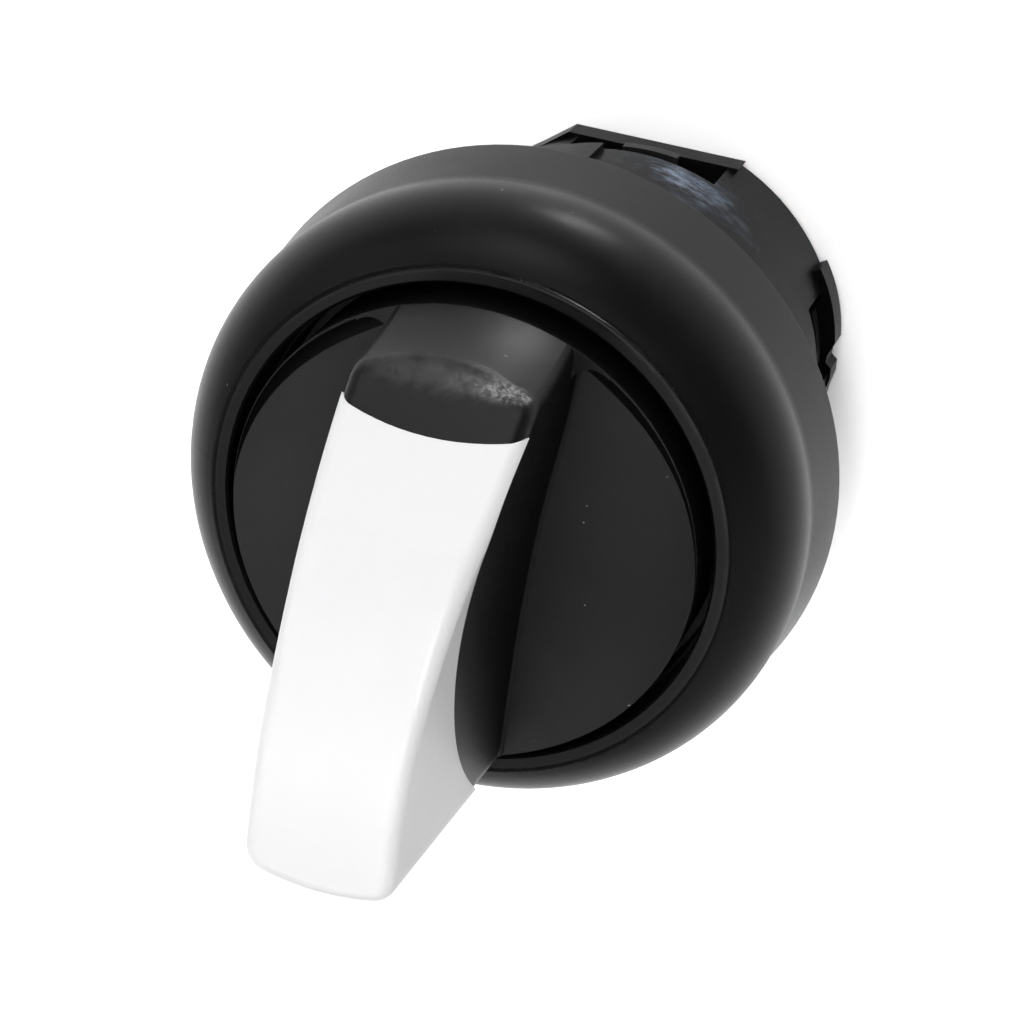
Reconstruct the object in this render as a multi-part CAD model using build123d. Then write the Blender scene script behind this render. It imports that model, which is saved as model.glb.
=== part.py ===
from build123d import *
import math
import os

# 22 mm panel-mounted rotary selector operator, three positions (I-0-II), millimetres.
# Origin: centre of the mounting hole on the panel's front face. +Z runs along the switch axis
# out of the front. +Y is the way the handle points at position 0. +X is right, seen from the front.

# ---------------------------------------------------------------- driving dimensions

# bezel ring
BEZEL_R = 15.0
CREASE_R = 14.55
CREASE_Z = 4.0
TORUS_R = 9.85
TORUS_Z = 4.95
TORUS_TUBE_R = 4.8
LIP_OUTER_R = 12.15
LIP_INNER_R = 11.42
LIP_Z = 9.2
LIP_DROP = 0.04
LIP_EASE = 0.12
LIP_EDGE_R = 0.4
CREASE_BLEND_R = 3.0
BEAD_Z = 4.4
BEAD_H = 0.25
BEZEL_SKIRT_R = 13.95
BEZEL_SKIRT_Z = 2.7
BEZEL_SEAT_R = 12.68
BEZEL_SEAT_Z = 6.3

# housing
SHOULDER_R = 11.0
SHOULDER_LEN = 5.0
BARREL_R = 10.8
BARREL_BORE_R = 9.6
BARREL_END_Z = -18.4
LUG_R = 11.1
LUG_HALF_DEG = 24.0
LUG_RAMP_DEG = 34.0
SIDE_LUG_R = 11.2
SIDE_LUG_HALF_DEG = 18.0
SIDE_LUG_SHIFT_DEG = 14.0
WINDOW_HALF_DEG = 21.5
SIDE_WINDOW_HALF_DEG = 12.0
WINDOW_FRONT_Z = -14.1
WINDOW_REAR_Z = -16.9
KEY_RIB_DEG = 16.0
KEY_RIB_HALF_DEG = 6.0
KEY_RIB_FRONT_Z = -5.6
GASKET_T = 0.9
FLANGE_R = 13.4
FLANGE_TOP_Z = 2.3
COLLAR_R = 12.6
COLLAR_BORE_R = 11.3
COLLAR_TOP_Z = 6.1
SNAP_DEPTH = 0.5
SNAP_HALF_H = 0.85
SNAP_FLOOR_HALF_H = 0.1
WEB_BOTTOM_Z = 0.8
WEB_TOP_Z = 3.6
REGISTER_R = 11.6
GASKET_R = 13.7
GASKET_BORE_R = 11.7
SEAL_GAP = 0.06
SEAL_INNER_R = 8.8
SEAL_OUTER_R = 11.2
SEAL_FOOT_T = 0.6
SEAL_ROOT_R = 9.6
SEAL_ROOT_T = 0.6
SEAL_LIP_R = 10.5
SEAL_LIP_T = 0.3

# rotor
ROTOR_R = 10.85
ROTOR_BOTTOM_Z = 5.0
FLOOR_Z = 9.55
FLOOR_TILT_DEG = 2.7
RECESS_DISH_R = 30.0
RECESS_DISH_X = 6.6
CREST_Z = 9.85
CREST_TILT_DEG = -1.8
HUB_R = 5.6
BEARING_R = 5.65
HUB_END_Z = -1.35
SPIGOT_R = 4.0
SPIGOT_FLAT_Y = 3.0
SPIGOT_END_Z = -7.2
TAIL_R = 10.15
TIP_R_LOW = 11.55
TIP_R_HIGH = 10.3
TIP_Z_LOW = 10.5
TIP_Z_HIGH = 25.0
OVERHANG_Z = 9.95
ROTOR_TOP_Z = 11.2
BOWL_Y = 0.3
BOWL_R = 9.445
BOWL_BLEND_R = 1.6
BOWL_LOW_Z = 9.0
BOWL_CORNER_R = 1.0
BOWL_CORNER_X = 5.03
BOWL_CORNER_Y = -8.25
FLARE_Z = 10.19
FLARE_TOP_Z = 15.5
FLARE_OUT_R = 12.22
FLARE_OUT_Z = 7.0
FIN_BASE_Z = 8.6
CREST_END_Y = 2.6
ORING_MAJOR_R = 5.1
ORING_MINOR_R = 0.53
ORING_Z = 2.2
ORING_GROOVE_H = 0.6
GROOVE_GAP = 0.02
SPIGOT_CLEARANCE = 0.05

# detent and drum
DETENT_TOP_Z = 0.75
DETENT_BOTTOM_Z = -1.2
DETENT_BORE_R = 5.72
BALL_R = 1.1
BALL_PITCH_R = 7.2
BALL_TRAVEL = 0.5
BALL_GAP = 0.05
SWITCH_DEG = 45.0
DRUM_R = 9.1
DRUM_TOP_Z = -1.35
CAM_MID_Z = -9.5
POCKET_R = 1.18
POCKET_END_Z = -6.6
DETENT_R = 9.55
DIMPLE_GAP = 0.08
STOP_INNER_R = 8.4
STOP_OUTER_R = 9.3
STOP_TAB_HALF_DEG = 10.0
STOP_TAB_TOP_Z = -0.3
STOP_TAB_ROOT = 2.0
STOP_GAP = 0.15
STOP_SLACK_DEG = 0.6
CORE_OUT_R = 1.6
CORE_OUT_Y = 6.4
CORE_OUT_Z = {-1: -9.0, 1: -5.0}
CAM_STROKE = 2.0
PUSHER_X = 6.4

# pushers, guide plate, springs
PUSHER_HEAD_R = 2.2
PUSHER_ROD_R = 1.4
PUSHER_END_Z = -19.2
NOSE_GAP = 0.15
HEAD_T = 0.95
GUIDE_TOP_Z = -16.2
GUIDE_BOTTOM_Z = -17.6
GUIDE_CLEARANCE = 0.06
GUIDE_R = 9.5
NOSE_R = 10.35
NOSE_HALF_DEG = 8.0
NOSE_LOW_Z = -16.85
NOSE_HIGH_Z = -16.2
BOSS_R = 3.6
RIB_T = 0.8
RIM_T = 0.9
SLEEVE_T = 0.9
ROD_CHAMFER = 0.3
PUSHER_WIRE_R = 0.16
PUSHER_COIL_R = 1.82
PUSHER_TURNS = 4
DETENT_WIRE_R = 0.14
DETENT_COIL_R = 0.8
DETENT_TURNS = 5
SPRING_GAP = 0.02

# screw and washer
SCREW_R = 1.5
SCREW_HEAD_R = 2.7
SCREW_HEAD_T = 1.9
SCREW_TIP_Z = -2.0
PILOT_SPARE = 0.4
WASHER_R = 3.1
WASHER_T = 0.5
WASHER_ROOM = 0.2
WASHER_SLACK = 0.1
CROSS_LENGTH = 2.8
CROSS_WIDTH = 0.6
CROSS_DEPTH = 0.9
DRUM_WEB_Z = -8.4

BIG = 60.0


def ring(outer_r, inner_r, z_low, z_high):
    """A plain washer between two heights."""
    disc = Pos(0, 0, z_low) * extrude(Circle(outer_r), z_high - z_low)
    hole = Pos(0, 0, z_low - 1) * extrude(Circle(inner_r), z_high - z_low + 2)
    return disc - hole


def cylinder(radius, z_low, z_high, x=0.0, y=0.0):
    """A cylinder parallel to the switch axis."""
    return Pos(x, y, z_low) * extrude(Circle(radius), z_high - z_low)


def revolved(points):
    """Solid of revolution from (radius, height) corners."""
    return revolve(Plane.XZ * make_face(Polyline(*points, close=True)), Axis.Z)


def half_space_above(z_at_centre, tilt_deg):
    """Everything above a plane that rises by tilt_deg towards +Y."""
    block = Pos(0, 0, BIG / 2) * Box(BIG, BIG, BIG)
    return Pos(0, 0, z_at_centre) * Rot(tilt_deg, 0, 0) * block


# ---------------------------------------------------------------- handle outline

# half width of the handle at distances y along it, from the wide tail to the slim tip
HALF_WIDTHS = [
    (-11.5, 4.22), (-8.2, 4.2), (-6.0, 4.05), (-3.5, 3.76), (0.0, 3.48), (3.0, 3.37), (12.5, 3.42),
]

# front surface seen from the side: (y, z)
CREST = [
    (-12.2, 12.2), (-9.9, 14.6), (-8.2, 16.4), (-6.0, 18.6), (-3.5, 21.0),
    (0.0, 23.2), (3.0, 24.4), (5.5, 24.85), (9.0, 24.97), (12.5, 25.0),
]

# seam between the white cap and the black fin, seen from the side: (y, z)
SEAM = [
    (-8.6, 15.4), (-6.2, 17.9), (-3.6, 19.6), (-0.8, 20.05),
    (2.4, 19.5), (5.7, 18.0), (8.6, 15.6), (11.6, 11.7),
]

CAP_TAIL_Y = -8.2
CAP_TAIL_BOW = 0.6
CAP_EDGE_X = 6.0
TAIL_ROUND_R = 1.3
TIP_CORNER_R = 1.2
SIDE_ROUND_R = 0.6
TIP_CORNER_HEIGHT = 8.0
ACROSS_SPAN = 5.0
FOOT_EDGE_LEN = 15.0
FOOT_ROUND_R = 0.25
FIN_INSET = 0.12
CORE_INSET = 1.35
CORE_CLEARANCE = 0.06
PEG_R = 0.8
PEG_LEN = 4.5
PEGS = ((-2.0, 21.2), (4.6, 24.0))


def handle_plan(inset, z_low, z_high):
    """The handle's outline from the front, as a prism, drawn in by inset on each side."""
    right = [(width - inset, y) for y, width in HALF_WIDTHS]
    left = [(-x, y) for x, y in reversed(right)]
    edges = Spline(*right) + Line(right[-1], left[0])
    edges += Spline(*left)
    edges += Line(left[-1], right[0])
    return Pos(0, 0, z_low) * extrude(make_face(edges), z_high - z_low)


def under_crest(drop):
    """Everything below the handle's front surface, lowered by drop."""
    front = [(y, z - drop) for y, z in CREST]
    outline = Spline(*front)
    outline += Polyline(front[-1], (front[-1][0], 0), (front[0][0], 0), front[0])
    return Pos(-BIG / 4, 0, 0) * extrude(Plane.YZ * make_face(outline), BIG / 2)


def under_seam():
    """Everything below the seam surface between cap and fin."""
    outline = Spline(*SEAM)
    tail_y = SEAM[0][0] - 3
    outline += Polyline(SEAM[-1], (SEAM[-1][0] + 3, 0), (tail_y, 0), (tail_y, 12.0), SEAM[0])
    return Pos(-BIG / 4, 0, 0) * extrude(Plane.YZ * make_face(outline), BIG / 2)


def tail_end(inset):
    """The round tail wall, flaring out to the disc's rim at its foot."""
    wall = (TAIL_R - inset, FLARE_TOP_Z)
    rim = (ROTOR_R + FIN_INSET - inset, FLARE_Z)
    foot = (FLARE_OUT_R - inset, FLARE_OUT_Z)
    section = ThreePointArc(wall, rim, foot)
    section += Polyline(foot, (0, FLARE_OUT_Z), (0, BIG / 2), (wall[0], BIG / 2), wall)
    return revolve(Plane.XZ * make_face(section), Axis.Z)


def handle_envelope(inset, drop):
    """The whole handle above the rotor disc: plan outline, crest and the rounded ends."""
    height = BIG / 2
    body = handle_plan(inset, FIN_BASE_Z, height) & under_crest(drop)
    slope = (TIP_R_LOW - TIP_R_HIGH) / (TIP_Z_HIGH - TIP_Z_LOW)
    low_r = TIP_R_LOW + slope * TIP_Z_LOW - inset
    tip_end = Pos(0, 0, height / 2) * Cone(low_r, low_r - slope * height, height)
    ends = tail_end(inset) + Pos(0, BIG / 2, height / 2) * Box(BIG, BIG, height)
    return body & tip_end & ends


def is_tip_corner(edge):
    """True for the two upright edges at the corners of the tip."""
    span = edge.bounding_box()
    return span.min.Y > ACROSS_SPAN and span.size.Z > TIP_CORNER_HEIGHT and span.size.Y < BOWL_R / 3


def rounded_envelope(inset):
    """The handle with its tail ridge, tip corners and long edges rounded."""
    body = handle_envelope(inset, 0.0)
    front = body.edges().filter_by(lambda edge: edge.bounding_box().min.Z > TIP_Z_LOW)
    across = front.filter_by(lambda edge: edge.bounding_box().size.X > ACROSS_SPAN)
    body = fillet(across.sort_by(Axis.Y)[0], TAIL_ROUND_R)
    body = fillet(body.edges().filter_by(is_tip_corner), TIP_CORNER_R)
    above_base = body.edges().filter_by(lambda edge: edge.bounding_box().max.Z > FIN_BASE_Z + 0.1)
    long_edges = above_base.filter_by(lambda edge: edge.bounding_box().size.X < ACROSS_SPAN)
    long_edges = long_edges.filter_by(lambda edge: edge.center().Y < ACROSS_SPAN)
    return fillet(long_edges, SIDE_ROUND_R)


def cap_zone():
    """The space forward of the cap's bowed tail edge."""
    corner_y = CAP_TAIL_Y - CAP_TAIL_BOW
    left = (-CAP_EDGE_X, corner_y)
    right = (CAP_EDGE_X, corner_y)
    bow = ThreePointArc(left, (0, CAP_TAIL_Y + CAP_TAIL_BOW), right)
    rest = Polyline(right, (CAP_EDGE_X, BEZEL_R), (-CAP_EDGE_X, BEZEL_R), left)
    return extrude(make_face(bow + rest), BIG / 2)


def seam_cutter():
    """The space that the white cap fills: forward of its tail edge and above the seam."""
    return cap_zone() - under_seam()


# ---------------------------------------------------------------- turning parts

def recess_corners():
    """What stays in the two tail corners of the recesses, where fin and rim meet in a round."""
    reach = BOWL_CORNER_R + 1.0
    x, y = BOWL_CORNER_X, BOWL_CORNER_Y
    corner = Polyline((x, y), (x - reach, y), (x - reach, y - 2 * reach), (x + reach, y - reach), (x, y))
    kept = extrude(make_face(corner), BIG / 4) - cylinder(BOWL_CORNER_R, -1.0, BIG / 2, x, y)
    return kept + mirror(kept, Plane.YZ)


def rotor_disc():
    """The disc with its two dished finger recesses and the thin raised rim behind them."""
    disc = cylinder(ROTOR_R, ROTOR_BOTTOM_Z, ROTOR_TOP_Z)
    dishes = Part()
    for side in (-1, 1):
        dish = Rot(90 + FLOOR_TILT_DEG, 0, 0) * Cylinder(RECESS_DISH_R, BIG)
        dishes += Pos(side * RECESS_DISH_X, 0, FLOOR_Z + RECESS_DISH_R) * dish
    floor = disc - dishes
    arc_centre = (BOWL_R, BOWL_LOW_Z + BOWL_BLEND_R)
    wall = (BOWL_R + BOWL_BLEND_R, BOWL_LOW_Z + BOWL_BLEND_R)
    diagonal = BOWL_BLEND_R * math.sqrt(0.5)
    middle = (arc_centre[0] + diagonal, arc_centre[1] - diagonal)
    section = ThreePointArc((BOWL_R, BOWL_LOW_Z), middle, wall)
    section += Polyline(wall, (wall[0], BIG / 4), (0, BIG / 4), (0, BOWL_LOW_Z), (BOWL_R, BOWL_LOW_Z))
    bowl = Pos(0, BOWL_Y, 0) * revolve(Plane.XZ * make_face(section), Axis.Z)
    bowl -= recess_corners()
    crest = disc - bowl - half_space_above(CREST_Z, CREST_TILT_DEG)
    crest -= Pos(0, BIG / 2 + CREST_END_Y, 0) * Box(BIG, BIG, BIG)
    return floor + crest


def spigot(clearance, z_low, z_high):
    """The double-flat drive shape between rotor and drum."""
    flats = Rectangle(BIG, 2 * (SPIGOT_FLAT_Y + clearance))
    return Pos(0, 0, z_low) * extrude(Circle(SPIGOT_R + clearance) & flats, z_high - z_low)


def is_foot(edge):
    """True for the two long edges where the fin meets the recess floors."""
    span = edge.bounding_box()
    level = span.min.Z > ROTOR_BOTTOM_Z + 1.0 and span.max.Z < ROTOR_TOP_Z
    return level and edge.length > FOOT_EDGE_LEN and abs(edge.center().Y) < ACROSS_SPAN / 2


def handle_rotor():
    """Black rotor: disc, domed fin, core inside the cap, bearing hub and drive spigot."""
    fin = rounded_envelope(FIN_INSET) - seam_cutter()
    fin += handle_envelope(CORE_INSET, CORE_INSET) - under_seam()
    for y, top_z in PEGS:
        fin -= cylinder(PEG_R + CORE_CLEARANCE, top_z - PEG_LEN - CORE_CLEARANCE, top_z + 5.0, 0, y)
    fin -= cylinder(BIG, -1.0, OVERHANG_Z) - cylinder(ROTOR_R, -1.0, OVERHANG_Z)
    tail_half = Pos(0, -BIG / 2, 0) * Box(BIG, BIG, BIG)
    fin -= tail_half - cylinder(ROTOR_R, -BIG, BIG)
    body = rotor_disc() + fin
    body = fillet(body.edges().filter_by(is_foot), FOOT_ROUND_R)
    body += cylinder(HUB_R, HUB_END_Z, ROTOR_BOTTOM_Z)
    body += spigot(0.0, SPIGOT_END_Z, HUB_END_Z)
    groove_r = ORING_MAJOR_R - ORING_MINOR_R - GROOVE_GAP
    body -= ring(HUB_R + 1.0, groove_r, ORING_Z - ORING_GROOVE_H, ORING_Z + ORING_GROOVE_H)
    body -= cylinder(SCREW_R + GROOVE_GAP, SPIGOT_END_Z - 1.0, SCREW_TIP_Z + PILOT_SPARE)
    return body


def grip_cap():
    """White cap: a shell over the fin's core, with two pegs that snap into it."""
    shell = rounded_envelope(0.0) & seam_cutter()
    clear = CORE_INSET - CORE_CLEARANCE
    shell -= handle_envelope(clear, clear) - under_seam()
    for y, top_z in PEGS:
        shell += cylinder(PEG_R, top_z - PEG_LEN, top_z, 0, y)
    return shell


def hub_oring():
    """O-ring in the hub's groove."""
    return Pos(0, 0, ORING_Z) * Torus(ORING_MAJOR_R, ORING_MINOR_R)


def cam_drum():
    """Drum on the spigot: oblique rear cam face, ball pockets, travel stop tab."""
    cam_amplitude = CAM_STROKE / math.sin(math.radians(SWITCH_DEG))
    cam_tilt = math.degrees(math.atan(cam_amplitude / PUSHER_X))
    drum = cylinder(DRUM_R, DRUM_TOP_Z - DRUM_R * 2, DRUM_TOP_Z)
    drum &= half_space_above(CAM_MID_Z, cam_tilt)
    drum -= spigot(SPIGOT_CLEARANCE, SPIGOT_END_Z - SPIGOT_CLEARANCE, DRUM_TOP_Z + 1.0)
    drum -= cylinder(SCREW_R + SPIGOT_CLEARANCE, DRUM_WEB_Z - 1.0, DRUM_TOP_Z)
    drum -= cylinder(WASHER_R + WASHER_ROOM, DRUM_WEB_Z - BIG, DRUM_WEB_Z)
    for side in (-1, 1):
        drum -= cylinder(POCKET_R, POCKET_END_Z, DRUM_TOP_Z + 1.0, side * BALL_PITCH_R, 0)
        drum -= cylinder(CORE_OUT_R, CORE_OUT_Z[side], DRUM_TOP_Z + 1.0, 0, side * CORE_OUT_Y)
    tab = ring(STOP_OUTER_R, STOP_INNER_R + STOP_GAP, DRUM_TOP_Z - STOP_TAB_ROOT, STOP_TAB_TOP_Z)
    tab &= sector(STOP_TAB_HALF_DEG, -90)
    return drum + tab


def hub_washer():
    """Flat washer under the screw head."""
    return ring(WASHER_R, SCREW_R + WASHER_SLACK, DRUM_WEB_Z - WASHER_T, DRUM_WEB_Z)


def hub_screw():
    """Pan-head screw with a cross recess, up through the drum into the spigot."""
    head_top = DRUM_WEB_Z - WASHER_T
    head_end = head_top - SCREW_HEAD_T
    screw = cylinder(SCREW_HEAD_R, head_end, head_top)
    screw = fillet(screw.faces().sort_by(Axis.Z)[0].edges(), SCREW_HEAD_T * 0.5)
    screw += cylinder(SCREW_R, head_top, SCREW_TIP_Z)
    for angle in (0, 90):
        cross = Rot(0, 0, angle) * Box(CROSS_LENGTH, CROSS_WIDTH, CROSS_DEPTH * 2)
        screw -= Pos(0, 0, head_end) * cross
    return screw


# ---------------------------------------------------------------- fixed parts

def sector(half_deg, centre_deg):
    """A tall wedge about the axis, used to keep or cut part of a ring."""
    half = math.radians(half_deg)
    reach = BIG / 2
    corner = (reach * math.cos(half), reach * math.sin(half))
    wedge = make_face(Polyline((0, 0), corner, (corner[0], -corner[1]), close=True))
    return Rot(0, 0, centre_deg) * extrude(wedge, reach, both=True)


def bezel_ring():
    """Front ring: flared flank, soft crease, round front, flat inner lip, snap bead inside."""
    lip_edge = math.atan2(LIP_Z - TORUS_Z, LIP_OUTER_R - TORUS_R)
    crease = math.atan2(CREASE_Z - TORUS_Z, CREASE_R - TORUS_R)
    middle = (lip_edge + crease) / 2
    round_front = [
        (TORUS_R + TORUS_TUBE_R * math.cos(a), TORUS_Z + TORUS_TUBE_R * math.sin(a))
        for a in (crease, middle, lip_edge)
    ]
    outline = Line((BEZEL_R, 0), round_front[0])
    outline += ThreePointArc(*round_front)
    outline += Polyline(
        round_front[2],
        (LIP_INNER_R + LIP_EASE, LIP_Z - LIP_DROP),
        (LIP_INNER_R, LIP_Z - LIP_DROP - LIP_EASE),
        (LIP_INNER_R, BEZEL_SEAT_Z),
        (BEZEL_SEAT_R, BEZEL_SEAT_Z),
        (BEZEL_SEAT_R, BEAD_Z + BEAD_H),
        (BEZEL_SEAT_R - BEAD_H, BEAD_Z),
        (BEZEL_SEAT_R, BEAD_Z - BEAD_H),
        (BEZEL_SEAT_R, BEZEL_SKIRT_Z),
        (BEZEL_SKIRT_R, BEZEL_SKIRT_Z),
        (BEZEL_SKIRT_R, 0),
        (BEZEL_R, 0),
    )
    section = make_face(outline)
    for corner, radius in ((round_front[0], CREASE_BLEND_R), (round_front[2], LIP_EDGE_R)):
        section = fillet(section.vertices().sort_by_distance(corner)[0], radius)
    return revolve(Plane.XZ * section, Axis.Z)


def polar(radius, angle_deg):
    """A point at a radius and angle."""
    return (radius * math.cos(math.radians(angle_deg)), radius * math.sin(math.radians(angle_deg)))


def flat_lug():
    """Rear lug behind a wide window: a flat band with a ramp at one end and a stop at the other."""
    corners = (polar(LUG_R, -LUG_HALF_DEG), polar(LUG_R, LUG_HALF_DEG), polar(BARREL_R, LUG_RAMP_DEG))
    return make_face(Polyline((0, 0), *corners, close=True))


def side_lug():
    """Rear lug of round outline with a notch in it."""
    round_start = polar(LUG_R, -3.0)
    round_end = polar(SIDE_LUG_R, SIDE_LUG_HALF_DEG)
    outline = ThreePointArc(round_start, polar(SIDE_LUG_R, 6.0), round_end)
    outline += Polyline(
        round_end, (0, 0), polar(BARREL_R, -SIDE_LUG_HALF_DEG), polar(10.96, -13.0), polar(10.95, -10.0),
        polar(10.65, -8.5), polar(10.7, -6.5), round_start,
    )
    return make_face(outline)


def all_lugs():
    """The four rear lugs: direction, outline, half angle and half angle of the window in front."""
    wide = (flat_lug(), LUG_HALF_DEG, WINDOW_HALF_DEG)
    side = (side_lug(), SIDE_LUG_HALF_DEG, SIDE_WINDOW_HALF_DEG)
    turns = (SIDE_LUG_SHIFT_DEG, 90, 180 + SIDE_LUG_SHIFT_DEG, 270)
    return [(turn, *(wide if turn in (90, 270) else side)) for turn in turns]


def housing_barrel():
    """Housing: flange, front collar, bearing web and the barrel that passes through the panel."""
    body = cylinder(BARREL_R, BARREL_END_Z, GASKET_T)
    body += cylinder(SHOULDER_R, -SHOULDER_LEN, GASKET_T)
    body += cylinder(REGISTER_R, 0.0, GASKET_T)
    body += cylinder(FLANGE_R, GASKET_T, FLANGE_TOP_Z)
    body += cylinder(COLLAR_R, GASKET_T, COLLAR_TOP_Z)
    body -= cylinder(BARREL_BORE_R, BARREL_END_Z - 1.0, WEB_BOTTOM_Z)
    body -= cylinder(COLLAR_BORE_R, WEB_TOP_Z, COLLAR_TOP_Z + 1.0)
    body -= cylinder(BEARING_R, 0, COLLAR_TOP_Z)
    groove_r = COLLAR_R - BEAD_H - GROOVE_GAP
    body -= revolved([
        (COLLAR_R + SNAP_DEPTH, BEAD_Z + SNAP_HALF_H),
        (groove_r, BEAD_Z + SNAP_FLOOR_HALF_H),
        (groove_r, BEAD_Z - SNAP_FLOOR_HALF_H),
        (COLLAR_R + SNAP_DEPTH, BEAD_Z - SNAP_HALF_H),
    ])
    for centre_deg, plan, half_deg, window_half_deg in all_lugs():
        lug = Pos(0, 0, BARREL_END_Z) * extrude(plan, WINDOW_REAR_Z - BARREL_END_Z)
        lug -= cylinder(BARREL_BORE_R, BARREL_END_Z - 1.0, 0)
        body -= cylinder(BIG, BARREL_END_Z - 1.0, WINDOW_REAR_Z) & sector(half_deg, centre_deg)
        body -= cylinder(BIG, WINDOW_REAR_Z - 0.1, WINDOW_FRONT_Z) & sector(window_half_deg, centre_deg)
        body += Rot(0, 0, centre_deg) * lug
    for centre_deg in (90 + KEY_RIB_DEG, 270 + KEY_RIB_DEG):
        rib = ring(LUG_R, BARREL_BORE_R + 0.5, WINDOW_FRONT_Z, KEY_RIB_FRONT_Z)
        body += rib & sector(KEY_RIB_HALF_DEG, centre_deg)
    return body


def panel_gasket():
    """Rubber washer between flange and panel."""
    return ring(GASKET_R, GASKET_BORE_R, 0.0, GASKET_T)


def lip_seal():
    """Rubber ring on the web, its lip reaching up under the rotor disc."""
    foot_top = WEB_TOP_Z + SEAL_FOOT_T
    lip_top = ROTOR_BOTTOM_Z - SEAL_GAP
    return revolved([
        (SEAL_INNER_R, WEB_TOP_Z),
        (SEAL_OUTER_R, WEB_TOP_Z),
        (SEAL_OUTER_R, foot_top),
        (SEAL_ROOT_R + SEAL_ROOT_T, foot_top),
        (SEAL_LIP_R + SEAL_LIP_T, lip_top),
        (SEAL_LIP_R, lip_top),
        (SEAL_ROOT_R, foot_top),
        (SEAL_INNER_R, foot_top),
    ])


def detent_ring():
    """Fixed ring under the web: six dimples for the balls and the travel stop's arc slot."""
    body = ring(DETENT_R, DETENT_BORE_R, DETENT_BOTTOM_Z, DETENT_TOP_Z)
    seated_z = ball_rest_z() + BALL_TRAVEL
    for side_deg in (0, 180):
        for stop_deg in (-SWITCH_DEG, 0, SWITCH_DEG):
            turn = Rot(0, 0, side_deg + stop_deg)
            body -= turn * Pos(BALL_PITCH_R, 0, seated_z) * Sphere(BALL_R + DIMPLE_GAP)
    quarter_slot = (SWITCH_DEG + STOP_TAB_HALF_DEG + STOP_SLACK_DEG) / 2
    slot = ring(BIG, STOP_INNER_R, DETENT_BOTTOM_Z - 1.0, STOP_TAB_TOP_Z + STOP_GAP)
    for side in (-1, 1):
        body -= slot & sector(quarter_slot, -90 + side * quarter_slot)
    return body


def guide_plate():
    """Rear plate: guides both pushers, clips into the barrel's windows, ribbed behind."""
    plate = cylinder(GUIDE_R, GUIDE_BOTTOM_Z, GUIDE_TOP_Z)
    for centre_deg in (SIDE_LUG_SHIFT_DEG, 90, 180 + SIDE_LUG_SHIFT_DEG, 270):
        nose = ring(NOSE_R, GUIDE_R - 1.0, NOSE_LOW_Z, NOSE_HIGH_Z)
        plate += nose & sector(NOSE_HALF_DEG, centre_deg)
    plate += ring(GUIDE_R, GUIDE_R - RIM_T, BARREL_END_Z, GUIDE_BOTTOM_Z)
    plate += ring(BOSS_R, BOSS_R - RIM_T, BARREL_END_Z, GUIDE_BOTTOM_Z)
    rib = Box(2 * GUIDE_R - RIM_T, RIB_T, GUIDE_BOTTOM_Z - BARREL_END_Z)
    for angle in (45, 135):
        plate += Pos(0, 0, (GUIDE_BOTTOM_Z + BARREL_END_Z) / 2) * Rot(0, 0, angle) * rib
    plate -= cylinder(BOSS_R - RIM_T, BARREL_END_Z - 1.0, GUIDE_TOP_Z + 1.0)
    bore_r = PUSHER_ROD_R + GUIDE_CLEARANCE
    for side in (-1, 1):
        plate += cylinder(bore_r + SLEEVE_T, BARREL_END_Z, GUIDE_BOTTOM_Z, side * PUSHER_X)
        plate -= cylinder(bore_r, BARREL_END_Z - 1.0, 0.0, side * PUSHER_X)
    return plate


# ---------------------------------------------------------------- balls, pushers and springs

def ball_rest_z():
    """Height of a ball's centre when it is pressed back under the ring."""
    return DETENT_BOTTOM_Z - BALL_GAP - BALL_R


def detent_ball(side):
    """Steel ball, side 1 on the right and -1 on the left."""
    return Pos(side * BALL_PITCH_R, 0, ball_rest_z()) * Sphere(BALL_R)


def coil(radius, wire_r, z_low, z_high, turns, x):
    """A round-wire compression spring parallel to the switch axis."""
    path = Helix((z_high - z_low) / turns, z_high - z_low, radius)
    wire = Plane(origin=path @ 0, z_dir=path % 0) * Circle(wire_r)
    return Pos(x, 0, z_low) * sweep(wire, path=path, is_frenet=True)


def detent_spring(side):
    """Spring in the drum's pocket behind a ball."""
    reach = BALL_R + DETENT_WIRE_R + SPRING_GAP
    top = ball_rest_z() - math.sqrt(reach ** 2 - DETENT_COIL_R ** 2)
    low = POCKET_END_Z + DETENT_WIRE_R + SPRING_GAP
    return coil(DETENT_COIL_R, DETENT_WIRE_R, low, top, DETENT_TURNS, side * BALL_PITCH_R)


def nose_z():
    """Height of the centre of a pusher's round nose at position 0."""
    cam_slope = CAM_STROKE / math.sin(math.radians(SWITCH_DEG)) / PUSHER_X
    return CAM_MID_Z - (PUSHER_HEAD_R + NOSE_GAP) * math.hypot(1.0, cam_slope)


def pusher(side):
    """Pusher: round nose on the drum's cam face, spring seat, and rod through the guide plate."""
    head_low = nose_z() - HEAD_T
    body = Pos(0, 0, nose_z()) * Sphere(PUSHER_HEAD_R)
    body -= cylinder(PUSHER_HEAD_R + 1.0, nose_z() - PUSHER_HEAD_R - 1.0, nose_z())
    body += cylinder(PUSHER_HEAD_R, head_low, nose_z())
    rod = cylinder(PUSHER_ROD_R, PUSHER_END_Z, head_low)
    rod = chamfer(rod.faces().sort_by(Axis.Z)[0].edges(), ROD_CHAMFER)
    return Pos(side * PUSHER_X, 0, 0) * (body + rod)


def pusher_spring(side):
    """Return spring between a pusher's seat and the guide plate."""
    top = nose_z() - HEAD_T - PUSHER_WIRE_R - SPRING_GAP
    low = GUIDE_TOP_Z + PUSHER_WIRE_R + SPRING_GAP
    return coil(PUSHER_COIL_R, PUSHER_WIRE_R, low, top, PUSHER_TURNS, side * PUSHER_X)


# ---------------------------------------------------------------- write one file per piece

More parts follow.
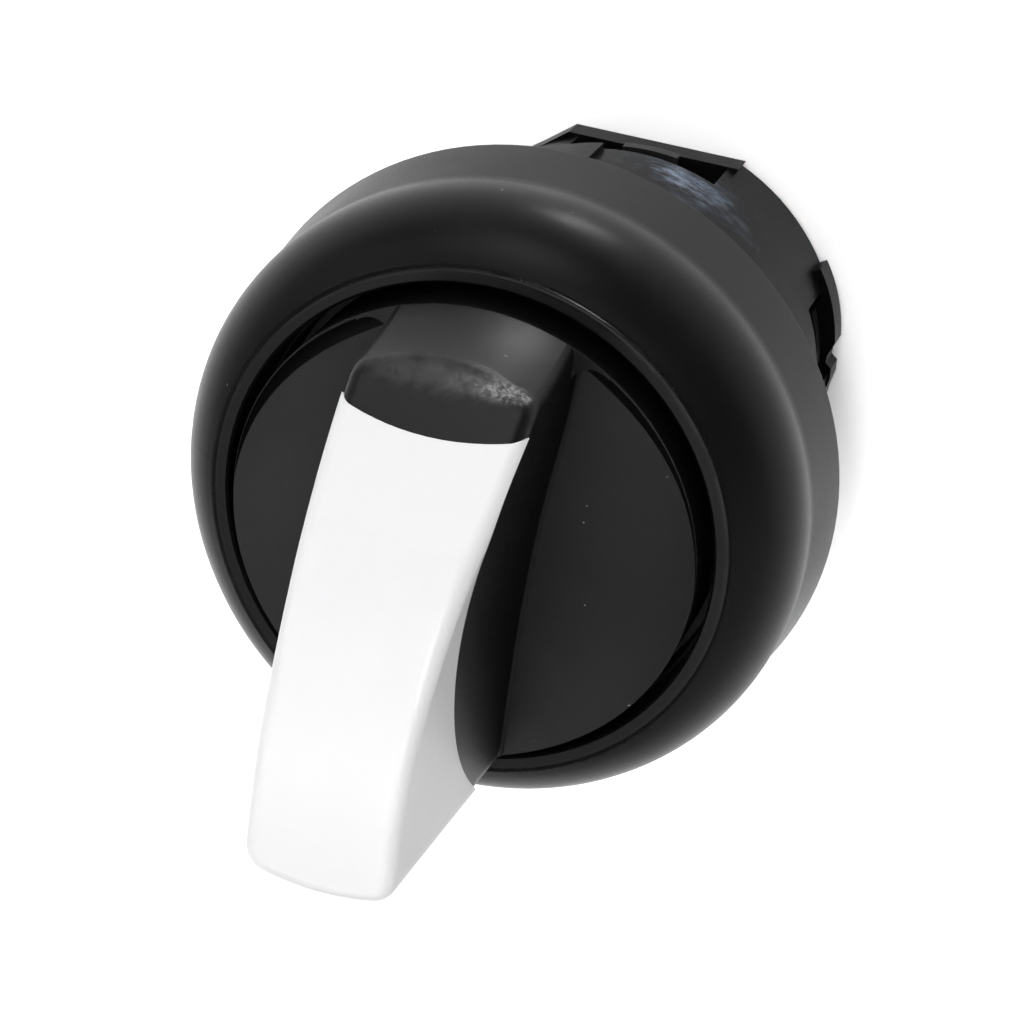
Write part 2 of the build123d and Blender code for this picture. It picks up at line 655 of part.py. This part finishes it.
def all_pieces():
    """Every piece by name."""
    pieces = {
        "bezel_ring": bezel_ring(),
        "housing_barrel": housing_barrel(),
        "panel_gasket": panel_gasket(),
        "handle_rotor": handle_rotor(),
        "grip_cap": grip_cap(),
        "hub_oring": hub_oring(),
        "lip_seal": lip_seal(),
        "detent_ring": detent_ring(),
        "cam_drum": cam_drum(),
        "hub_screw": hub_screw(),
        "hub_washer": hub_washer(),
        "guide_plate": guide_plate(),
    }
    for name, side in (("right", 1), ("left", -1)):
        pieces["detent_ball_" + name] = detent_ball(side)
        pieces["detent_spring_" + name] = detent_spring(side)
        pieces["pusher_" + name] = pusher(side)
        pieces["pusher_spring_" + name] = pusher_spring(side)
    return pieces


if __name__ == "__main__":
    os.makedirs("parts", exist_ok=True)
    for node, solid in all_pieces().items():
        export_step(solid, "parts/" + node + ".step")
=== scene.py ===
import math

import bpy
from mathutils import Matrix, Vector


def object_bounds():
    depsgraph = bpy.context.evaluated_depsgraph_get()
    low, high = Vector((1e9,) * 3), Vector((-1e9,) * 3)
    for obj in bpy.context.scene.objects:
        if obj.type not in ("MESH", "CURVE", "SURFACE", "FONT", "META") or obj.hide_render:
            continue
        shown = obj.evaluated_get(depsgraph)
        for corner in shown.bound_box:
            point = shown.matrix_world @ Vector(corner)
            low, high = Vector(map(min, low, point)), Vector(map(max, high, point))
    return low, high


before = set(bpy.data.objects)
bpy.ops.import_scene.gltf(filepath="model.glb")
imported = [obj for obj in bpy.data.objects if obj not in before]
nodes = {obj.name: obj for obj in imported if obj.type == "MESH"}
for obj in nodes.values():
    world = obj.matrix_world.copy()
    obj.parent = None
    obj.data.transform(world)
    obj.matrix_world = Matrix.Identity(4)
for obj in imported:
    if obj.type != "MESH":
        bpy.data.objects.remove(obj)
cad_low, cad_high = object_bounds()

MM = 0.001


# ---------------------------------------------------------------- camera

CAMERA_AT = Vector((-32.37269, -58.78754, 124.76251)) * MM
CAMERA_RIGHT = Vector((-0.94367, -0.12143, -0.30781))
CAMERA_UP = Vector((0.23927, -0.89297, -0.38126))
CAMERA_LENS_MM = 105.47
SENSOR_WIDTH_MM = 36.0
CLIP_START_M = 0.01
CLIP_END_M = 20.0


def make_camera():
    """A long lens from in front of and to the left of the switch, rolled so that the grip points down."""
    data = bpy.data.cameras.new("camera")
    data.lens = CAMERA_LENS_MM
    data.sensor_width = SENSOR_WIDTH_MM
    data.clip_start = CLIP_START_M
    data.clip_end = CLIP_END_M
    camera = bpy.data.objects.new("camera", data)
    bpy.context.scene.collection.objects.link(camera)
    back = CAMERA_RIGHT.cross(CAMERA_UP).normalized()
    axes = Matrix((CAMERA_RIGHT.normalized(), CAMERA_UP.normalized(), back)).transposed()
    camera.matrix_world = Matrix.Translation(CAMERA_AT) @ axes.to_4x4()
    bpy.context.scene.camera = camera


# ---------------------------------------------------------------- studio

SURROUND_LEVEL = 0.34
SEEN_LEVEL = 1.0
GLOWS = (
    # azimuth, elevation, full within and gone by, all in degrees, then luminance
    (-8.0, 66.0, 2.0, 4.5, 140.0),
    (12.0, 24.0, 6.0, 24.0, 5.0),
    (57.0, 28.0, 8.0, 30.0, 1.5),
    (155.0, 76.0, 9.0, 26.0, 5.2),
    (122.0, 12.0, 20.0, 55.0, 0.45),
    (-125.0, 14.0, 20.0, 50.0, 0.9),
)
FLOOR_HALF_M = 3.0
FLOOR_GREY = 0.9
FLOOR_ROUGHNESS = 0.9
FLOOR_SPECULAR = 0.1
SPOT_SOURCE_M = 0.004


def direction(azimuth, elevation):
    """Unit vector; azimuth 0 is towards -Y and 90 towards +X, in degrees."""
    a, e = math.radians(azimuth), math.radians(elevation)
    return Vector((math.sin(a) * math.cos(e), -math.cos(a) * math.cos(e), math.sin(e)))


def make_world(base, seen, glows):
    """A dim surround with soft glows in given directions, pale where the camera looks past the floor."""
    world = bpy.data.worlds.new("surround")
    bpy.context.scene.world = world
    world.use_nodes = True
    tree = world.node_tree
    tree.nodes.clear()

    def add(kind, inputs, **values):
        node = tree.nodes.new(kind)
        for key, value in values.items():
            setattr(node, key, value)
        for socket, source in inputs.items():
            if isinstance(source, bpy.types.NodeSocket):
                tree.links.new(source, node.inputs[socket])
            else:
                node.inputs[socket].default_value = source
        return node

    towards = add("ShaderNodeTexCoord", {}).outputs["Generated"]
    level = base
    for azimuth, elevation, full_deg, end_deg, amount in glows:
        axis = tuple(direction(azimuth, elevation))
        dot = add("ShaderNodeVectorMath", {0: towards, 1: axis}, operation="DOT_PRODUCT")
        angle = add("ShaderNodeMath", {0: dot.outputs["Value"]}, operation="ARCCOSINE").outputs[0]
        limits = {"Value": angle, "To Min": amount, "To Max": 0.0}
        limits["From Min"] = math.radians(full_deg)
        limits["From Max"] = math.radians(end_deg)
        glow = add("ShaderNodeMapRange", limits, interpolation_type="SMOOTHSTEP").outputs["Result"]
        level = add("ShaderNodeMath", {0: level, 1: glow}, operation="ADD").outputs[0]
    around = add("ShaderNodeBackground", {"Color": (1.0, 1.0, 1.0, 1.0), "Strength": level})
    plain = add("ShaderNodeBackground", {"Color": (1.0, 1.0, 1.0, 1.0), "Strength": seen})
    is_seen = add("ShaderNodeLightPath", {}).outputs["Is Camera Ray"]
    mix = add("ShaderNodeMixShader", {0: is_seen, 1: around.outputs[0], 2: plain.outputs[0]})
    add("ShaderNodeOutputWorld", {"Surface": mix.outputs[0]})


def floor_wash(x, y, height, width, luminance):
    """A broad panel straight above the floor that brightens matt surfaces but shows in no reflection."""
    data = bpy.data.lights.new("floor_wash", "AREA")
    data.shape = "SQUARE"
    data.size = width
    data.energy = luminance * math.pi * width * width
    lamp = bpy.data.objects.new("floor_wash", data)
    bpy.context.scene.collection.objects.link(lamp)
    lamp.location = (x, y, height)
    lamp.visible_camera = False
    lamp.visible_glossy = False


def floor_spot(x, y, height, radius, power):
    """A narrow lamp that makes one bright patch on the floor, out of the picture."""
    data = bpy.data.lights.new("floor_spot", "SPOT")
    data.energy = power
    data.spot_size = 2.0 * math.atan(radius / (height - cad_low.z))
    data.spot_blend = 1.0
    data.shadow_soft_size = SPOT_SOURCE_M
    lamp = bpy.data.objects.new("floor_spot", data)
    bpy.context.scene.collection.objects.link(lamp)
    lamp.location = (x, y, height)
    lamp.visible_glossy = False


def make_floor(height):
    """A plain pale floor under the switch."""
    mesh = bpy.data.meshes.new("floor")
    half = FLOOR_HALF_M
    corners = [(-half, -half, height), (half, -half, height), (half, half, height), (-half, half, height)]
    mesh.from_pydata(corners, [], [(0, 1, 2, 3)])
    floor = bpy.data.objects.new("floor", mesh)
    bpy.context.scene.collection.objects.link(floor)
    material = bpy.data.materials.new("floor_white")
    material.use_nodes = True
    shader = material.node_tree.nodes["Principled BSDF"]
    shader.inputs["Base Color"].default_value = (FLOOR_GREY, FLOOR_GREY, FLOOR_GREY, 1.0)
    shader.inputs["Roughness"].default_value = FLOOR_ROUGHNESS
    shader.inputs["Specular IOR Level"].default_value = FLOOR_SPECULAR
    mesh.materials.append(material)


# ---------------------------------------------------------------- materials

class Nodes:
    """Small helper that adds shader nodes to one material and links them."""

    def __init__(self, name):
        self.material = bpy.data.materials.new(name)
        self.material.use_nodes = True
        self.tree = self.material.node_tree
        self.shader = self.tree.nodes["Principled BSDF"]
        self.coords = self.add("ShaderNodeTexCoord").outputs["Object"]

    def add(self, kind, links=(), **values):
        """A node with its properties set, and (input, source) pairs linked or set."""
        node = self.tree.nodes.new(kind)
        for key, value in values.items():
            setattr(node, key, value)
        for socket, source in dict(links).items():
            self.feed(node, socket, source)
        return node

    def feed(self, node, socket, source):
        """Links source into the socket, or sets the socket to a plain value."""
        if isinstance(source, bpy.types.NodeSocket):
            self.tree.links.new(source, node.inputs[socket])
        else:
            node.inputs[socket].default_value = source

    def noise(self, scale, detail=2.0, rough=0.5, vector=None, distortion=0.0):
        """Cloudy noise; scale is about how many waves fit in a metre, unless vector is scaled."""
        links = {"Vector": vector or self.coords, "Scale": scale, "Detail": detail,
                 "Roughness": rough, "Distortion": distortion}
        return self.add("ShaderNodeTexNoise", links).outputs["Fac"]

    def map_range(self, value, from_low, from_high, to_low, to_high, smooth=False):
        """The value moved from one range to another, and held at the new range's ends."""
        links = {"Value": value, "From Min": from_low, "From Max": from_high,
                 "To Min": to_low, "To Max": to_high}
        kind = "SMOOTHSTEP" if smooth else "LINEAR"
        return self.add("ShaderNodeMapRange", links, interpolation_type=kind).outputs["Result"]

    def swing(self, noise, low, high):
        """Noise stretched from its usual range, 0.3 to 0.7, to run from low to high."""
        return self.map_range(noise, 0.3, 0.7, low, high)

    def math(self, operation, a, b=0.0, clamp=False):
        return self.add("ShaderNodeMath", {0: a, 1: b}, operation=operation, use_clamp=clamp).outputs[0]

    def vector(self, operation, output, links):
        """One output of a vector maths node."""
        return self.add("ShaderNodeVectorMath", links, operation=operation).outputs[output]

    def mix(self, factor, a, b):
        """Colour a where factor is 0 and b where it is 1."""
        node = self.add("ShaderNodeMix", data_type="RGBA")
        self.feed(node, 0, factor)
        self.feed(node, 6, a)
        self.feed(node, 7, b)
        return node.outputs[2]

    def bump(self, height, strength, distance, normal=None):
        links = {"Height": height, "Strength": strength, "Distance": distance}
        if normal is not None:
            links["Normal"] = normal
        return self.add("ShaderNodeBump", links).outputs["Normal"]

    def finish(self, **inputs):
        """Feeds the main shader's sockets and returns the material."""
        for socket, source in inputs.items():
            self.feed(self.shader, socket.replace("_", " "), source)
        return self.material


def rgba(value, tint=(1.0, 1.0, 1.0)):
    """A colour from a grey level and a tint."""
    return (value * tint[0], value * tint[1], value * tint[2], 1.0)


def patch_mask(n, centre_mm, half_mm):
    """1 in the middle of an oval patch of the surface, fading to 0 at its edge."""
    centre = tuple(c * MM for c in centre_mm)
    half = tuple(h * MM for h in half_mm)
    offset = n.vector("SUBTRACT", "Vector", {0: n.coords, 1: centre})
    scaled = n.vector("DIVIDE", "Vector", {0: offset, 1: half})
    length = n.vector("LENGTH", "Value", {0: scaled})
    ragged = n.math("ADD", length, n.swing(n.noise(900.0, 3.0, 0.6), -0.3, 0.3))
    return n.map_range(ragged, 0.2, 1.0, 1.0, 0.0, smooth=True)


def specks(n, scale, share, size):
    """Scattered dust specks of uneven shape."""
    wobble = n.add("ShaderNodeTexNoise", {"Vector": n.coords, "Scale": scale * 6.0}).outputs["Color"]
    shift = n.vector("SCALE", "Vector", {0: wobble, "Scale": 0.35 / scale})
    moved = n.vector("ADD", "Vector", {0: n.coords, 1: shift})
    cells = n.add("ShaderNodeTexVoronoi", {"Vector": moved, "Scale": scale, "Randomness": 1.0})
    near = n.map_range(cells.outputs["Distance"], size * 0.6, size, 1.0, 0.0)
    tone = n.add("ShaderNodeSeparateColor", {0: cells.outputs["Color"]}).outputs[0]
    return n.math("MULTIPLY", near, n.math("LESS_THAN", tone, share))


def worn_and_highlit_edges(n, cloud, rounded):
    """1 on the sharp edges, broken up by the cloudy noise: partly rubbed wear, partly a painted edge
    highlight.
    """
    facing = n.add("ShaderNodeNewGeometry").outputs["Normal"]
    dot = n.vector("DOT_PRODUCT", "Value", {0: rounded, 1: facing})
    sharp_edge_band = n.map_range(dot, 0.995, 0.86, 0.0, 1.0, smooth=True)
    return n.math("MULTIPLY", sharp_edge_band, n.map_range(cloud, 0.35, 0.65, 0.25, 1.0))


def polished_ring(n, radius_mm, half_mm):
    """1 on a ring about the switch's axis, fading to 0 at half_mm to each side, uneven along it."""
    flat = n.vector("MULTIPLY", "Vector", {0: n.coords, 1: (1.0, 1.0, 0.0)})
    radius = n.vector("LENGTH", "Value", {0: flat})
    away = n.math("ABSOLUTE", n.math("SUBTRACT", radius, radius_mm * MM))
    ring = n.map_range(away, half_mm * MM * 0.4, half_mm * MM, 1.0, 0.0, smooth=True)
    return n.math("MULTIPLY", ring, n.map_range(n.noise(420.0, 3.0, 0.6), 0.35, 0.6, 0.2, 1.0))


EDGE_SOFTEN_MM = 0.05
# how much sharp edges are lightened: partly rubbed wear, partly a painted edge highlight
EDGE_WEAR_AND_HIGHLIGHT_SHARE = 0.35
DUST_GREY = 0.2


def moulded(name, grey, tint, roughness, grain_depth_mm, specular, grain_mm=0.12, dust=0.0,
            spread=0.2, painted_sheen=(), polished=None):
    """Injection-moulded plastic: fine spark-eroded grain, cloudy gloss, sharp edges lightened as partly
    rubbed wear and partly painted edge highlight, patches of painted highlight, and dust.

    polished is the radius and half width in mm of a glossier ring, and how much smoother it is.
    """
    n = Nodes(name)
    cloud = n.noise(180.0, 3.0, 0.55)
    patch = n.noise(60.0, 2.0, 0.5, distortion=0.6)
    grain = n.noise(1.0 / (grain_mm * MM), 2.0, 0.6)
    fine = n.noise(2.6 / (grain_mm * MM), 1.0, 0.5)
    edge = n.add("ShaderNodeBevel", {"Radius": EDGE_SOFTEN_MM * MM}, samples=6)
    edge_wear_and_highlight = worn_and_highlit_edges(n, cloud, edge.outputs["Normal"])
    base = n.mix(cloud, rgba(grey * (1.0 - spread), tint), rgba(grey * (1.0 + spread), tint))
    # sharp edges lightened: partly rubbed wear, partly a painted edge highlight
    edge_wear_and_highlight_grey = min(grey * 3.0 + 0.012, 0.8)
    base = n.mix(n.math("MULTIPLY", edge_wear_and_highlight, EDGE_WEAR_AND_HIGHLIGHT_SHARE), base, rgba(edge_wear_and_highlight_grey, tint))
    rough = n.swing(cloud, roughness - 0.035, roughness + 0.035)
    rough = n.math("ADD", rough, n.swing(patch, -0.02, 0.03))
    rough = n.math("ADD", rough, n.swing(grain, -0.03, 0.03))
    # patches of painted highlight: a lighter colour and changed roughness in an oval, broken up by
    # streaky noise
    for centre, half, streak, low, high, colour, gloss in painted_sheen:
        scale = n.add("ShaderNodeMapping", {"Vector": n.coords, "Scale": streak}).outputs["Vector"]
        broken = n.map_range(n.noise(1.0, 4.0, 0.65, vector=scale), low, high, 0.0, 1.0, smooth=True)
        sheen_mark = n.math("MULTIPLY", broken, patch_mask(n, centre, half))
        base = n.mix(sheen_mark, base, colour)
        rough = n.math("ADD", rough, n.math("MULTIPLY", sheen_mark, gloss), clamp=True)
    if polished is not None:
        radius_mm, half_mm, gloss = polished
        ring = polished_ring(n, radius_mm, half_mm)
        rough = n.math("SUBTRACT", rough, n.math("MULTIPLY", ring, gloss), clamp=True)
    if dust > 0.0:
        speck = n.math("MAXIMUM", specks(n, 640.0, dust, 0.05), specks(n, 1500.0, dust, 0.06))
        base = n.mix(speck, base, rgba(DUST_GREY))
        rough = n.math("ADD", rough, n.math("MULTIPLY", speck, 0.4), clamp=True)
    height = n.math("ADD", grain, n.math("MULTIPLY", fine, 0.5))
    normal = n.bump(height, 1.0, grain_depth_mm * MM, edge.outputs["Normal"])
    return n.finish(Base_Color=base, Roughness=rough, Normal=normal, Specular_IOR_Level=specular)


def steel(name, grey, roughness, brushed_along):
    """Bright steel, with fine drawn or turned lines along the given axis."""
    n = Nodes(name)
    stretch = [2200.0, 2200.0, 2200.0]
    stretch[brushed_along] = 160.0
    stretched = n.add("ShaderNodeMapping", {"Vector": n.coords, "Scale": stretch}).outputs["Vector"]
    lines = n.noise(1.0, 3.0, 0.6, vector=stretched)
    cloud = n.noise(500.0, 2.0, 0.5)
    base = n.mix(cloud, rgba(grey * 0.86, (1.0, 0.99, 0.96)), rgba(grey * 1.08, (1.0, 1.0, 0.99)))
    rough = n.swing(lines, roughness - 0.06, roughness + 0.08)
    normal = n.bump(lines, 0.6, 0.004 * MM)
    return n.finish(Base_Color=base, Roughness=rough, Normal=normal, Metallic=1.0)


def rubber(name, grey):
    """Black rubber with a soft bloom."""
    n = Nodes(name)
    cloud = n.noise(300.0, 3.0, 0.6)
    grain = n.noise(5000.0, 2.0, 0.6)
    base = n.mix(n.map_range(cloud, 0.35, 0.75, 0.0, 1.0), rgba(grey * 0.8), rgba(grey * 1.8))
    rough = n.swing(cloud, 0.62, 0.82)
    normal = n.bump(grain, 0.7, 0.01 * MM)
    return n.finish(Base_Color=base, Roughness=rough, Normal=normal, Specular_IOR_Level=0.35)


NEUTRAL = (1.0, 1.0, 1.0)
COOL = (0.96, 1.0, 1.04)
NATURAL = (1.0, 0.97, 0.88)
ALONG_X, ALONG_Z = 0, 2

# bluish pale colours for the barrel patch: a painted highlight broken up by scratch streaks
PALE_HIGHLIGHT_SCRATCH = (0.04, 0.052, 0.075, 1.0)
BRIGHT_HIGHLIGHT_SCRATCH = (0.13, 0.155, 0.2, 1.0)

# each: centre and half size in mm, streak scale, noise levels where the marks start and are full,
# colour, added roughness
# painted highlight along the hump's ridge, with lighter speckles towards its -X end
RIDGE_HIGHLIGHT = (
    ((0.2, -9.6, 15.0), (4.6, 1.1, 1.2), (900.0, 900.0, 900.0), 0.2, 0.5, rgba(0.02), 0.1),
    ((-1.6, -9.6, 15.0), (3.0, 0.7, 0.8), (2400.0, 2400.0, 2400.0), 0.3, 0.8, rgba(0.06), 0.0),
    ((-2.6, -9.6, 15.0), (1.6, 0.6, 0.7), (5200.0, 5200.0, 5200.0), 0.42, 0.68, rgba(0.13), 0.0),
)
# painted highlight on the barrel, broken up by scratch streaks and a little glossier there
BARREL_HIGHLIGHT_AND_SCRATCHES = (
    ((-3.6, -10.1, -12.6), (4.6, 4.0, 3.1), (420.0, 420.0, 1300.0), 0.42, 0.68, PALE_HIGHLIGHT_SCRATCH, -0.05),
    ((-3.0, -10.4, -12.6), (2.6, 2.6, 1.9), (900.0, 900.0, 3000.0), 0.46, 0.66, BRIGHT_HIGHLIGHT_SCRATCH, -0.1),
)

FINISHES = {
    "bezel_ring": moulded("bezel_satin_black", 0.0014, COOL, roughness=0.33, grain_depth_mm=0.0012,
                          specular=0.08, dust=0.06, polished=(12.12, 0.28, 0.16)),
    "handle_rotor": moulded("rotor_satin_black", 0.0015, COOL, roughness=0.38, grain_mm=0.14,
                            grain_depth_mm=0.003, specular=0.12, dust=0.05, painted_sheen=RIDGE_HIGHLIGHT),
    "housing_barrel": moulded("housing_black", 0.0014, COOL, roughness=0.34, grain_depth_mm=0.002,
                              specular=0.035, painted_sheen=BARREL_HIGHLIGHT_AND_SCRATCHES),
    "guide_plate": moulded("guide_black", 0.004, NEUTRAL, roughness=0.45, grain_mm=0.14,
                           grain_depth_mm=0.003, specular=0.15),
    "grip_cap": moulded("cap_white", 0.365, NEUTRAL, roughness=0.38, grain_mm=0.2,
                        grain_depth_mm=0.0015, specular=0.3, spread=0.03),
    "detent_ring": moulded("detent_natural", 0.5, NATURAL, roughness=0.4, grain_mm=0.2,
                           grain_depth_mm=0.002, specular=0.5),
    "cam_drum": moulded("drum_grey", 0.22, COOL, roughness=0.42, grain_mm=0.2,
                        grain_depth_mm=0.003, specular=0.5),
    "panel_gasket": rubber("gasket_rubber", 0.012),
    "lip_seal": rubber("lip_rubber", 0.012),
    "hub_oring": rubber("oring_rubber", 0.01),
    "hub_screw": steel("screw_zinc", 0.62, 0.3, ALONG_Z),
    "hub_washer": steel("washer_zinc", 0.62, 0.3, ALONG_X),
}
for side in ("right", "left"):
    FINISHES["pusher_" + side] = moulded("pusher_natural_" + side, 0.62, NATURAL, roughness=0.42,
                                         grain_mm=0.2, grain_depth_mm=0.002, specular=0.5)
    FINISHES["detent_ball_" + side] = steel("ball_steel_" + side, 0.72, 0.12, ALONG_Z)
    FINISHES["detent_spring_" + side] = steel("spring_detent_" + side, 0.55, 0.3, ALONG_Z)
    FINISHES["pusher_spring_" + side] = steel("spring_pusher_" + side, 0.55, 0.3, ALONG_Z)

for name, finish in FINISHES.items():
    for slot in nodes[name].material_slots:
        slot.material = finish


# ---------------------------------------------------------------- set the scene

make_camera()
make_world(SURROUND_LEVEL, SEEN_LEVEL, GLOWS)
make_floor(cad_low.z)
floor_wash(x=0.01, y=-0.02, height=0.12, width=0.17, luminance=1.9)
floor_spot(x=-0.002, y=-0.057, height=0.3, radius=0.011, power=150.0)
bpy.context.scene.view_settings.view_transform = "Standard"
